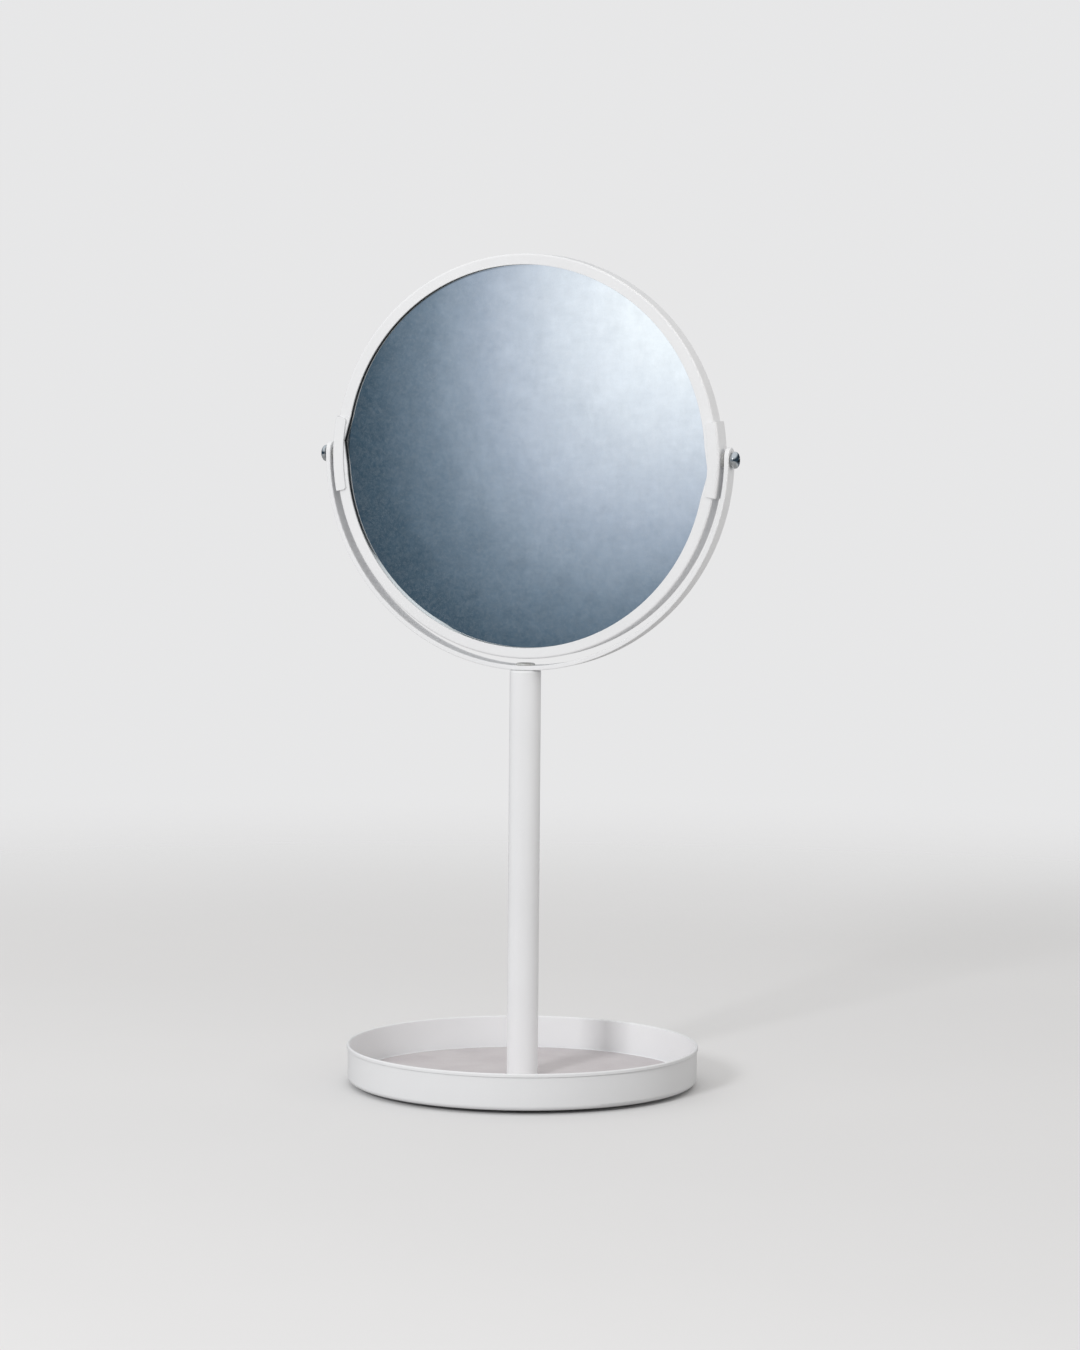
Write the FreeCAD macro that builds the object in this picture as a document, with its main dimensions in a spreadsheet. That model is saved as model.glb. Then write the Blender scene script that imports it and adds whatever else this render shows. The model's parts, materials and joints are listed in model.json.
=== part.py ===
import FreeCAD, Part
import math
import os

import Sketcher
from FreeCAD import Placement, Rotation, Vector

# Tabletop swivel mirror: two mirror glasses in a split round channel frame, swivelling in a
# half-round strip yoke, on a tube that stands in a shallow round tray.
# Millimetres. +Z is up, the flat mirror faces -Y, the pivot axis runs along X, and the origin
# is on the surface that the tray stands on, under the post.

doc = FreeCAD.newDocument("SwivelMirror")
sizes = doc.addObject("Spreadsheet::Sheet", "Sizes")

driving_sizes = {
    # foot pad, tray and mat
    "pad_radius": 66.0,
    "pad_hole_radius": 12.0,
    "pad_thickness": 1.6,
    "tray_radius": 75.0,
    "tray_height": 15.6,
    "tray_sheet": 0.8,
    "tray_corner_radius": 2.0,
    "rim_width": 1.3,
    "rim_height": 1.6,
    "rim_bead_radius": 0.6,
    "rim_under_radius": 0.2,
    "mat_radius": 71.4,
    "mat_hole_radius": 8.1,
    "mat_thickness": 1.2,
    # post and its threaded plugs
    "post_radius": 6.65,
    "post_wall": 1.2,
    "post_edge_radius": 1.0,
    "lower_plug_length": 14.0,
    "upper_plug_length": 12.0,
    # yoke
    "pivot_height": 267.5,
    "yoke_inner_radius": 88.3,
    "yoke_strip": 2.0,
    "yoke_width": 9.0,
    "yoke_tip_rise": 5.3,
    "yoke_tip_flat": 0.04,
    "yoke_edge_radius": 0.35,
    # mirror frame channel
    "frame_radius": 85.3,
    "frame_lip_radius": 80.7,
    "frame_lip_drift": 0.5,
    "frame_depth": 10.4,
    "frame_sheet": 0.8,
    "frame_bend_radius": 0.9,
    "frame_seam_angle": 0.2,
    "frame_turn": 4.0,
    "lip_relief_depth": 1.8,
    "lip_relief_drop": 1.35,
    "lip_relief_length": 14.0,
    "lip_relief_overrun": 1.0,
    # glasses and what lies between them
    "glass_radius": 83.6,
    "glass_thickness": 1.8,
    "glass_edge_radius": 0.4,
    "rear_curve_radius": 1100.0,
    "board_radius": 81.0,
    "board_thickness": 1.5,
    "spacer_inner_radius": 81.8,
    "spacer_outer_radius": 84.4,
    "spacer_gap_angle": 5.2,
    "spacer_play": 0.02,
    # saddle clips
    "clip_sheet": 1.3,
    "clip_flange": 0.9,
    "clip_lip_radius": 81.7,
    "clip_angle": 21.4,
    "clip_bend_radius": 1.2,
    "clip_corner_radius": 1.4,
    # pivot hardware
    "nut_flange_radius": 2.95,
    "nut_flange_thickness": 0.6,
    "nut_barrel_radius": 2.3,
    "nut_barrel_length": 5.2,
    "nut_bulge_radius": 2.5,
    "nut_bulge_length": 0.8,
    "nut_bulge_play": 0.05,
    "pivot_thread_radius": 1.75,
    "pivot_running_gap": 0.08,
    "pivot_side_gap": 0.1,
    "friction_washer_radius": 3.0,
    "spring_washer_radius": 3.1,
    "spring_washer_thickness": 0.7,
    "spring_washer_arc": 350.0,
    "pivot_head_radius": 3.5,
    "pivot_head_height": 2.5,
    "pivot_screw_length": 9.4,
    # post screws
    "base_thread_radius": 3.0,
    "base_head_radius": 7.0,
    "base_head_height": 1.1,
    "base_screw_length": 12.0,
    "top_thread_radius": 2.5,
    "top_head_radius": 4.0,
    "top_head_height": 0.8,
    "top_screw_length": 12.0,
    "screw_hole_gap": 0.2,
    # screw shapes, as shares of the thread's radius
    "screw_point_share": 0.7,
    "screw_lead_share": 0.3,
    "recess_arm_share": 0.8,
    "recess_side_share": 0.25,
    "recess_depth_share": 0.8,
}

for row, (alias, value) in enumerate(driving_sizes.items(), start=1):
    sizes.set("A%d" % row, alias)
    sizes.set("B%d" % row, str(value))
    sizes.setAlias("B%d" % row, alias)
doc.recompute()

# Heights and radii that follow from the driving sizes, as formulas over the sheet.
floor_top = "(Sizes.pad_thickness + Sizes.tray_sheet)"
tray_wall_radius = "(Sizes.tray_radius - Sizes.rim_width + Sizes.tray_sheet)"
tray_inner_radius = "(Sizes.tray_radius - Sizes.rim_width)"
yoke_outer_radius = "(Sizes.yoke_inner_radius + Sizes.yoke_strip)"
post_length = "(Sizes.pivot_height - %s - %s)" % (yoke_outer_radius, floor_top)
post_bore = "(Sizes.post_radius - Sizes.post_wall)"
half_depth = "(Sizes.frame_depth / 2)"
glass_front = "(%s - Sizes.frame_sheet)" % half_depth
glass_back = "(%s - Sizes.glass_thickness)" % glass_front
web_inner_radius = "(Sizes.frame_radius - Sizes.frame_sheet)"
clip_radius = "(Sizes.frame_radius + Sizes.clip_sheet)"
pivot_angle = "(Sizes.frame_turn - Sizes.frame_seam_angle / 2)"

HEAD_TURN = Rotation(Vector(1, 0, 0), 90)
NEARLY = 1e-6
EDGE_SLACK = 0.02


def number(formula):
    """Value of a formula over the sheet."""
    value = sizes.evalExpression(formula)
    return float(getattr(value, "Value", value))


def new_body(label, rotation=Rotation(), **position):
    """Body named after its node; position gives Placement.Base.x, y or z as formulas."""
    body = doc.addObject("PartDesign::Body", label)
    body.Label = label
    body.Placement = Placement(Vector(*[number(position.get(k, "0")) for k in "xyz"]), rotation)
    for key, formula in position.items():
        body.setExpression("Placement.Base." + key, formula)
    return body


def new_sketch(body, role, height=None):
    """Sketch on one of the body's own origin planes, raised by height if that is given."""
    plane = [f for f in body.Origin.OriginFeatures if f.Role == role][0]
    sketch = body.newObject("Sketcher::SketchObject", body.Name + "_sketch")
    sketch.AttachmentSupport = [(plane, "")]
    sketch.MapMode = "FlatFace"
    if height:
        sketch.setExpression("AttachmentOffset.Base.z", height)
    return sketch


def bind(sketch, kind, geometry, formula):
    """Dimension whose value is a formula over the sheet."""
    index = sketch.addConstraint(Sketcher.Constraint(kind, *geometry, number(formula)))
    sketch.setExpression("Constraints[%d]" % index, formula)


def hold(sketch, line, point, axis, formula):
    """Keep a line's end or a circle's centre at formula from the origin along axis X or Y."""
    value = number(formula)
    if abs(value) < NEARLY:
        on_axis = -2 if axis == "X" else -1
        sketch.addConstraint(Sketcher.Constraint("PointOnObject", line, point, on_axis))
    elif value > 0:
        bind(sketch, "Distance" + axis, (-1, 1, line, point), formula)
    else:
        bind(sketch, "Distance" + axis, (line, point, -1, 1), "-(%s)" % formula)


def draw_outline(sketch, corners):
    """Closed outline through corners (x, y) or (x, y, radius), all formulas.

    Neighbours that share a formula are joined by an upright or level edge, and only a corner
    between two such edges is rounded.
    """
    count = len(corners)
    spots = [Vector(number(c[0]), number(c[1]), 0) for c in corners]
    rounding = [c[2] if len(c) == 3 else None for c in corners]
    radii = [number(r) if r else 0.0 for r in rounding]
    ways = [(spots[(i + 1) % count] - spots[i]).normalize() for i in range(count)]
    upright = [corners[i][0] == corners[(i + 1) % count][0] for i in range(count)]
    level = [corners[i][1] == corners[(i + 1) % count][1] for i in range(count)]
    lines = []
    for i in range(count):
        start = spots[i] + ways[i] * radii[i]
        end = spots[(i + 1) % count] - ways[i] * radii[(i + 1) % count]
        lines.append(sketch.addGeometry(Part.LineSegment(start, end)))
        if upright[i]:
            sketch.addConstraint(Sketcher.Constraint("Vertical", lines[i]))
        elif level[i]:
            sketch.addConstraint(Sketcher.Constraint("Horizontal", lines[i]))
    for i in range(count):
        before = lines[i - 1]
        after = lines[i]
        if not rounding[i]:
            sketch.addConstraint(Sketcher.Constraint("Coincident", before, 2, after, 1))
            continue
        into = spots[i] - ways[i - 1] * radii[i]
        out = spots[i] + ways[i] * radii[i]
        centre = into + ways[i] * radii[i]
        middle = centre + (spots[i] - centre).normalize() * radii[i]
        arc = sketch.addGeometry(Part.Arc(into, middle, out))
        starts_at_into = sketch.getPoint(arc, 1).distanceToPoint(into) < NEARLY
        first, last = (1, 2) if starts_at_into else (2, 1)
        sketch.addConstraint([Sketcher.Constraint("Tangent", before, 2, arc, first),
                              Sketcher.Constraint("Tangent", arc, last, after, 1)])
        bind(sketch, "Radius", (arc,), rounding[i])
    for i in range(count):
        x, y = corners[i][:2]
        if upright[i] or not (upright[i - 1] or rounding[i]):
            hold(sketch, lines[i], 1, "X", x)
        if level[i] or not (level[i - 1] or rounding[i]):
            hold(sketch, lines[i], 1, "Y", y)


def draw_circle(sketch, radius, drift="0"):
    """Circle about the sketch's origin, or with its centre at drift up the Y axis."""
    centre = Vector(0, number(drift), 0)
    circle = sketch.addGeometry(Part.Circle(centre, Vector(0, 0, 1), number(radius)))
    hold(sketch, circle, 3, "X", "0")
    hold(sketch, circle, 3, "Y", drift)
    bind(sketch, "Radius", (circle,), radius)


def revolve(body, corners, angle="360", centred=False):
    """Turn an outline in (radius, height) about the body's Z axis."""
    sketch = new_sketch(body, "XZ_Plane")
    draw_outline(sketch, corners)
    return revolve_sketch(body, sketch, angle, centred)


def revolve_sketch(body, sketch, angle="360", centred=False):
    feature = body.newObject("PartDesign::Revolution", body.Name + "_turned")
    feature.Profile = sketch
    feature.ReferenceAxis = (sketch, ["V_Axis"])
    feature.Angle = number(angle)
    feature.setExpression("Angle", angle)
    feature.Midplane = centred
    sketch.Visibility = False
    doc.recompute()
    return feature


def cut(body, sketch, depth=None, both_ways=False, ahead=False):
    """Pocket behind the sketch, through everything unless a depth is given; it must remove material.

    both_ways cuts on both sides of the sketch, ahead cuts in front of it instead.
    """
    before = body.Shape.Volume
    pocket = body.newObject("PartDesign::Pocket", body.Name + "_cut")
    pocket.Profile = sketch
    pocket.Reversed = ahead
    if depth:
        pocket.setExpression("Length", depth)
    else:
        pocket.Type = "ThroughAll"
        pocket.Midplane = both_ways
    doc.recompute()
    if body.Shape.Volume > before - NEARLY:
        raise RuntimeError("a pocket in %s removes nothing" % body.Label)


def round_edges(body, radius, chosen):
    """Fillet the body's edges for which chosen(edge) is true."""
    base = body.Tip
    names = ["Edge%d" % (i + 1) for i, edge in enumerate(base.Shape.Edges) if chosen(edge)]
    fillet = body.newObject("PartDesign::Fillet", body.Name + "_rounding")
    fillet.Base = (base, names)
    fillet.setExpression("Radius", radius)
    doc.recompute()
    return fillet


# ---- stand: pad, tray, mat ------------------------------------------------------------------

def make_foot_pad():
    body = new_body("foot_pad")
    soft = "Sizes.pad_thickness / 4"
    revolve(body, [("Sizes.pad_hole_radius", "0"),
                   ("Sizes.pad_radius", "0", soft),
                   ("Sizes.pad_radius", "Sizes.pad_thickness"),
                   ("Sizes.pad_hole_radius", "Sizes.pad_thickness")])


def make_base_tray():
    """Pressed dish: flat floor, upright wall, and a rim folded outwards into a round bead."""
    body = new_body("base_tray", z="Sizes.pad_thickness")
    hole = "Sizes.base_thread_radius + Sizes.screw_hole_gap"
    bead = "Sizes.rim_bead_radius"
    inner_corner = "Sizes.tray_corner_radius - Sizes.tray_sheet"
    under_rim = "Sizes.tray_height - Sizes.rim_height"
    revolve(body, [(hole, "0"),
                   (tray_wall_radius, "0", "Sizes.tray_corner_radius"),
                   (tray_wall_radius, under_rim),
                   ("Sizes.tray_radius", under_rim, "Sizes.rim_under_radius"),
                   ("Sizes.tray_radius", "Sizes.tray_height", bead),
                   (tray_inner_radius, "Sizes.tray_height", bead),
                   (tray_inner_radius, "Sizes.tray_sheet", inner_corner),
                   (hole, "Sizes.tray_sheet")])


def make_tray_mat():
    body = new_body("tray_mat", z=floor_top)
    soft = "Sizes.mat_thickness / 3"
    revolve(body, [("Sizes.mat_hole_radius", "0"),
                   ("Sizes.mat_radius", "0"),
                   ("Sizes.mat_radius", "Sizes.mat_thickness", soft),
                   ("Sizes.mat_hole_radius", "Sizes.mat_thickness", soft)])


# ---- stand: post and its plugs --------------------------------------------------------------

def make_post():
    body = new_body("post", z=floor_top)
    revolve(body, [(post_bore, "0"),
                   ("Sizes.post_radius", "0"),
                   ("Sizes.post_radius", post_length, "Sizes.post_edge_radius"),
                   (post_bore, post_length)])


def make_post_plug(label, height, length, thread_radius):
    """Threaded plug, pressed into the tube, with a lead-in chamfer at both ends."""
    body = new_body(label, z=height)
    lead = "Sizes.post_wall / 2"
    narrow = "%s - %s" % (post_bore, lead)
    revolve(body, [(thread_radius, "0"),
                   (narrow, "0"),
                   (post_bore, lead),
                   (post_bore, "%s - %s" % (length, lead)),
                   (narrow, length),
                   (thread_radius, length)])


# ---- screws and washers ---------------------------------------------------------------------

def make_screw(label, kind, rotation, crown, **position):
    """Screw with its head's seat at the body's origin, shank down -Z and a cross recess on top.

    crown is the share of the head's height that its rounded edge takes up.
    """
    body = new_body(label, rotation, **position)
    head_radius = "Sizes.%s_head_radius" % kind
    head_height = "Sizes.%s_head_height" % kind
    thread = "Sizes.%s_thread_radius" % kind
    length = "-Sizes.%s_screw_length" % kind
    revolve(body, [("0", length),
                   ("%s * Sizes.screw_point_share" % thread, length),
                   (thread, "%s + %s * Sizes.screw_lead_share" % (length, thread)),
                   (thread, "0"),
                   (head_radius, "0"),
                   (head_radius, head_height, "%s * %s" % (head_height, crown)),
                   ("0", head_height)])
    arm = "%s * Sizes.recess_arm_share" % thread
    side = "%s * Sizes.recess_side_share" % thread
    recess = new_sketch(body, "XY_Plane", head_height)
    draw_outline(recess, [(side, side), (side, arm), ("-" + side, arm), ("-" + side, side),
                          ("-" + arm, side), ("-" + arm, "-" + side), ("-" + side, "-" + side),
                          ("-" + side, "-" + arm), (side, "-" + arm), (side, "-" + side),
                          (arm, "-" + side), (arm, side)])
    cut(body, recess, depth="%s * Sizes.recess_depth_share" % thread)


def make_washer(label, bore, radius, thickness, angle, rotation, **position):
    """Washer on the body's Z axis; an angle under 360 leaves it split."""
    body = new_body(label, rotation, **position)
    revolve(body, [(bore, "0"), (radius, "0"), (radius, thickness), (bore, thickness)], angle)


# ---- yoke -----------------------------------------------------------------------------------

def make_yoke():
    """Strip bent to a half circle about the pivot axis' middle, with short upright round tips."""
    body = new_body("yoke", z="Sizes.pivot_height")
    sketch = new_sketch(body, "XZ_Plane")
    inner = number("Sizes.yoke_inner_radius")
    outer = number(yoke_outer_radius)
    rise = number("Sizes.yoke_tip_rise")
    bands = []
    for radius in (inner, outer):
        circle = Part.Circle(Vector(), Vector(0, 0, 1), radius)
        bands.append(sketch.addGeometry(Part.ArcOfCircle(circle, math.pi, 2 * math.pi)))
    for band, formula in zip(bands, ("Sizes.yoke_inner_radius", yoke_outer_radius)):
        sketch.addConstraint(Sketcher.Constraint("Coincident", band, 3, -1, 1))
        bind(sketch, "Radius", (band,), formula)
        for end in (1, 2):
            sketch.addConstraint(Sketcher.Constraint("PointOnObject", band, end, -1))
    for end, side in ((1, -1), (2, 1)):
        near_top = Vector(side * inner, rise, 0)
        far_top = Vector(side * outer, rise, 0)
        near = sketch.addGeometry(Part.LineSegment(Vector(side * inner, 0, 0), near_top))
        tip = sketch.addGeometry(Part.LineSegment(near_top, far_top))
        far = sketch.addGeometry(Part.LineSegment(far_top, Vector(side * outer, 0, 0)))
        sketch.addConstraint([Sketcher.Constraint("Coincident", bands[0], end, near, 1),
                              Sketcher.Constraint("Coincident", near, 2, tip, 1),
                              Sketcher.Constraint("Coincident", tip, 2, far, 1),
                              Sketcher.Constraint("Coincident", far, 2, bands[1], end),
                              Sketcher.Constraint("Vertical", near),
                              Sketcher.Constraint("Vertical", far),
                              Sketcher.Constraint("Horizontal", tip)])
        hold(sketch, tip, 1, "Y", "Sizes.yoke_tip_rise")
    pad = body.newObject("PartDesign::Pad", "yoke_strip")
    pad.Profile = sketch
    pad.Midplane = True
    pad.setExpression("Length", "Sizes.yoke_width")
    doc.recompute()

    longest_tip_edge = number("Sizes.yoke_strip") + EDGE_SLACK

    def at_tip(edge):
        """Short edge through the strip's thickness, at one of the four corners of the tips."""
        box = edge.BoundBox
        return edge.Length < longest_tip_edge and box.ZLength < NEARLY and box.YLength < NEARLY

    round_edges(body, "(Sizes.yoke_width - Sizes.yoke_tip_flat) / 2", at_tip)
    round_edges(body, "Sizes.yoke_edge_radius", lambda edge: edge.Length > longest_tip_edge)

    pivot_holes = new_sketch(body, "YZ_Plane")
    draw_circle(pivot_holes, "Sizes.pivot_thread_radius + Sizes.pivot_running_gap")
    cut(body, pivot_holes, both_ways=True)
    post_hole = new_sketch(body, "XY_Plane")
    draw_circle(post_hole, "Sizes.top_thread_radius + Sizes.screw_hole_gap")
    cut(body, post_hole)


# ---- mirror head ----------------------------------------------------------------------------
# Bodies of the head are drawn about their own Z axis, which HEAD_TURN lays along -Y, so that
# their height is the distance in front of the frame's middle plane.

def make_frame_half(label, turn):
    """Half of the frame: a lipped channel with a pivot hole near one end.

    The halves are the same part, set round the mirror half a turn apart. The lips grow a little
    wider from the middle of the half towards both ends, and are trimmed back at the ends, so
    that the halves close without their corners meeting.
    """
    body = new_body(label, HEAD_TURN * Rotation(Vector(0, 0, 1), turn), z="Sizes.pivot_height")
    lip = "(Sizes.frame_lip_radius - Sizes.frame_lip_drift)"
    blank_lip = "(%s - Sizes.frame_lip_drift)" % lip
    outer = "Sizes.frame_radius"
    bend = "Sizes.frame_bend_radius"
    revolve(body, [(blank_lip, "-" + half_depth),
                   (outer, "-" + half_depth, bend),
                   (outer, half_depth, bend),
                   (blank_lip, half_depth),
                   (blank_lip, glass_front),
                   (web_inner_radius, glass_front),
                   (web_inner_radius, "-" + glass_front),
                   (blank_lip, "-" + glass_front)], "180 - Sizes.frame_seam_angle")
    opening = new_sketch(body, "XY_Plane")
    draw_circle(opening, lip, "Sizes.frame_lip_drift")
    cut(body, opening, both_ways=True)
    relief = new_sketch(body, "XY_Plane")
    deep = lip + " + Sizes.lip_relief_depth"
    shallow = lip + " - Sizes.lip_relief_drop"
    past_seam = "-Sizes.lip_relief_overrun"
    for sign in ("", "-"):
        draw_outline(relief, [("%s(%s)" % (sign, deep), past_seam),
                              ("%s(%s)" % (sign, shallow), "Sizes.lip_relief_length"),
                              ("%s(%s - Sizes.lip_relief_length / 2)" % (sign, shallow), past_seam)])
    cut(body, relief, both_ways=True)
    drill = new_sketch(body, "YZ_Plane")
    drill.AttachmentOffset = Placement(Vector(), Rotation(Vector(0, 1, 0), number(pivot_angle)))
    drill.setExpression("AttachmentOffset.Rotation.Angle", pivot_angle)
    draw_circle(drill, "Sizes.nut_barrel_radius")
    cut(body, drill, ahead=True)


def make_front_mirror():
    body = new_body("front_mirror", HEAD_TURN, z="Sizes.pivot_height")
    edge = "Sizes.glass_edge_radius"
    revolve(body, [("0", glass_back),
                   ("Sizes.glass_radius", glass_back, edge),
                   ("Sizes.glass_radius", glass_front, edge),
                   ("0", glass_front)])


def make_rear_mirror():
    """Bent glass of one thickness, hollow towards the back, so that it magnifies."""
    body = new_body("rear_mirror", HEAD_TURN, z="Sizes.pivot_height")
    sketch = new_sketch(body, "XZ_Plane")
    rim = number("Sizes.glass_radius")
    thickness = number("Sizes.glass_thickness")
    curve = number("Sizes.rear_curve_radius")
    centre_height = "(-%s - sqrt(Sizes.rear_curve_radius ^ 2 - Sizes.glass_radius ^ 2))" % glass_front
    centre = Vector(0, number(centre_height), 0)
    faces = []
    for radius in (curve, curve + thickness):
        circle = Part.Circle(centre, Vector(0, 0, 1), radius)
        lean = math.acos(rim / radius)
        faces.append(sketch.addGeometry(Part.ArcOfCircle(circle, lean, math.pi / 2)))
    for face, formula in zip(faces, ("Sizes.rear_curve_radius",
                                     "Sizes.rear_curve_radius + Sizes.glass_thickness")):
        bind(sketch, "Radius", (face,), formula)
        sketch.addConstraint(Sketcher.Constraint("PointOnObject", face, 2, -2))
    sketch.addConstraint(Sketcher.Constraint("PointOnObject", faces[0], 3, -2))
    sketch.addConstraint(Sketcher.Constraint("Coincident", faces[0], 3, faces[1], 3))
    hold(sketch, faces[0], 3, "Y", centre_height)
    ends = [[sketch.getPoint(face, end) for end in (1, 2)] for face in faces]
    edge = sketch.addGeometry(Part.LineSegment(ends[0][0], ends[1][0]))
    axis = sketch.addGeometry(Part.LineSegment(ends[0][1], ends[1][1]))
    for line, end in ((edge, 1), (axis, 2)):
        sketch.addConstraint(Sketcher.Constraint("Coincident", line, 1, faces[0], end))
        sketch.addConstraint(Sketcher.Constraint("Coincident", line, 2, faces[1], end))
    sketch.addConstraint(Sketcher.Constraint("Vertical", edge))
    hold(sketch, edge, 1, "X", "Sizes.glass_radius")
    revolve_sketch(body, sketch)


def make_backing_board():
    body = new_body("backing_board", HEAD_TURN, z="Sizes.pivot_height")
    low = "%s - Sizes.board_thickness" % glass_back
    revolve(body, [("0", low),
                   ("Sizes.board_radius", low),
                   ("Sizes.board_radius", glass_back),
                   ("0", glass_back)])


def make_spacer_strip(label, turn):
    """Strip between the rims of the two glasses, ending clear of the rivet nuts."""
    body = new_body(label, HEAD_TURN * Rotation(Vector(0, 0, 1), turn), z="Sizes.pivot_height")
    rim_rise = "(Sizes.glass_radius ^ 2 - Sizes.spacer_inner_radius ^ 2) / Sizes.rear_curve_radius / 2"
    back = "Sizes.spacer_play + %s - %s" % (rim_rise, glass_back)
    revolve(body, [("Sizes.spacer_inner_radius", back),
                   ("Sizes.spacer_outer_radius", back),
                   ("Sizes.spacer_outer_radius", glass_back),
                   ("Sizes.spacer_inner_radius", glass_back)],
            "180 - Sizes.spacer_gap_angle", centred=True)


def make_pivot_clip(label, turn):
    """Saddle that wraps the frame over one seam, with both flanges lying on the frame's faces."""
    body = new_body(label, HEAD_TURN * Rotation(Vector(0, 0, 1), turn), z="Sizes.pivot_height")
    lip = "Sizes.clip_lip_radius"
    face = "(%s + Sizes.clip_flange)" % half_depth
    bend = "Sizes.clip_bend_radius"
    revolve(body, [(lip, "-" + face),
                   (clip_radius, "-" + face, bend),
                   (clip_radius, face, bend),
                   (lip, face),
                   (lip, half_depth),
                   ("Sizes.frame_radius", half_depth),
                   ("Sizes.frame_radius", "-" + half_depth),
                   (lip, "-" + half_depth)], "Sizes.clip_angle", centred=True)
    inner_end = number(lip) + EDGE_SLACK

    def at_flange_corner(edge):
        """Edge through a flange's thickness, at its inner end."""
        box = edge.BoundBox
        along_depth = box.XLength < NEARLY and box.YLength < NEARLY
        return along_depth and math.hypot(box.XMax, box.YMax) < inner_end

    round_edges(body, "Sizes.clip_corner_radius", at_flange_corner)
    drill = new_sketch(body, "YZ_Plane")
    draw_circle(drill, "Sizes.nut_barrel_radius")
    cut(body, drill, both_ways=True)


def make_rivet_nut(label, rotation, **position):
    """Flange outside the clip, barrel through clip and frame, bulge set against the channel's inside."""
    body = new_body(label, rotation, **position)
    bore = "Sizes.pivot_thread_radius"
    barrel = "Sizes.nut_barrel_radius"
    bulge = "Sizes.nut_bulge_radius"
    inner_face = "-(%s - %s + Sizes.nut_bulge_play)" % (clip_radius, web_inner_radius)
    bulge_end = "(%s - Sizes.nut_bulge_length)" % inner_face
    end = "-Sizes.nut_barrel_length"
    revolve(body, [(bore, end),
                   (barrel, end),
                   (barrel, bulge_end),
                   (bulge, bulge_end),
                   (bulge, inner_face),
                   (barrel, inner_face),
                   (barrel, "0"),
                   ("Sizes.nut_flange_radius", "0"),
                   ("Sizes.nut_flange_radius", "Sizes.nut_flange_thickness"),
                   (bore, "Sizes.nut_flange_thickness")])


def make_pivot(side, sign):
    """Hardware on one side of the pivot axis, from the frame outwards."""
    outward = Rotation(Vector(0, 1, 0), 90 * sign)
    swing_gap = "Sizes.pivot_side_gap"
    flange_top = "(%s + Sizes.nut_flange_thickness)" % clip_radius
    friction_thickness = "Sizes.yoke_inner_radius - %s - %s" % (swing_gap, flange_top)
    spring_seat = "(%s + %s)" % (yoke_outer_radius, swing_gap)
    head_seat = "(%s + Sizes.spring_washer_thickness)" % spring_seat
    washer_bore = "Sizes.pivot_thread_radius + Sizes.pivot_running_gap"

    def at(radius):
        return {"x": "%d * %s" % (sign, radius), "z": "Sizes.pivot_height"}

    make_rivet_nut("rivet_nut_" + side, outward, **at(clip_radius))
    make_washer("friction_washer_" + side, washer_bore, "Sizes.friction_washer_radius",
                friction_thickness, "360", outward, **at(flange_top))
    make_washer("spring_washer_" + side, washer_bore, "Sizes.spring_washer_radius",
                "Sizes.spring_washer_thickness", "Sizes.spring_washer_arc", outward, **at(spring_seat))
    make_screw("pivot_screw_" + side, "pivot", outward, 0.8, **at(head_seat))


# ---- build ----------------------------------------------------------------------------------

make_foot_pad()
make_base_tray()
make_tray_mat()
make_post()
make_post_plug("post_plug_lower", floor_top, "Sizes.lower_plug_length", "Sizes.base_thread_radius")
make_post_plug("post_plug_upper", "%s + %s - Sizes.upper_plug_length" % (floor_top, post_length),
               "Sizes.upper_plug_length", "Sizes.top_thread_radius")
make_screw("base_screw", "base", Rotation(Vector(1, 0, 0), 180), 0.6, z="Sizes.pad_thickness")
make_yoke()
# The flat head bridges the curved strip, so it seats a little above the strip's lowest line.
yoke_seat = "sqrt(Sizes.yoke_inner_radius ^ 2 - Sizes.top_head_radius ^ 2)"
make_screw("yoke_screw", "top", Rotation(), 0.6, z="Sizes.pivot_height - " + yoke_seat)

make_frame_half("frame_half_upper", -number(pivot_angle))
make_frame_half("frame_half_lower", 180 - number(pivot_angle))
make_front_mirror()
make_rear_mirror()
make_backing_board()
make_spacer_strip("spacer_strip_upper", 90)
make_spacer_strip("spacer_strip_lower", 270)
make_pivot_clip("pivot_clip_right", 0)
make_pivot_clip("pivot_clip_left", 180)
make_pivot("right", 1)
make_pivot("left", -1)
doc.recompute()

# ---- check and write ------------------------------------------------------------------------

for thing in doc.Objects:
    if "Invalid" in thing.State or "Error" in thing.State:
        raise RuntimeError("%s did not build: %s" % (thing.Label, thing.State))

os.makedirs("parts", exist_ok=True)
for body in doc.findObjects("PartDesign::Body"):
    shape = body.Shape
    if shape.isNull() or not shape.isValid() or not shape.Solids:
        raise RuntimeError("%s has no valid solid" % body.Label)
    shape.exportStep("parts/" + body.Label + ".step")
    print("%-24s %10.1f mm3, %d solid(s)" % (body.Label, shape.Volume, len(shape.Solids)))
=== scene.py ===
import json
import math

import bmesh
import bpy
from mathutils import Matrix, Vector


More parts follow.
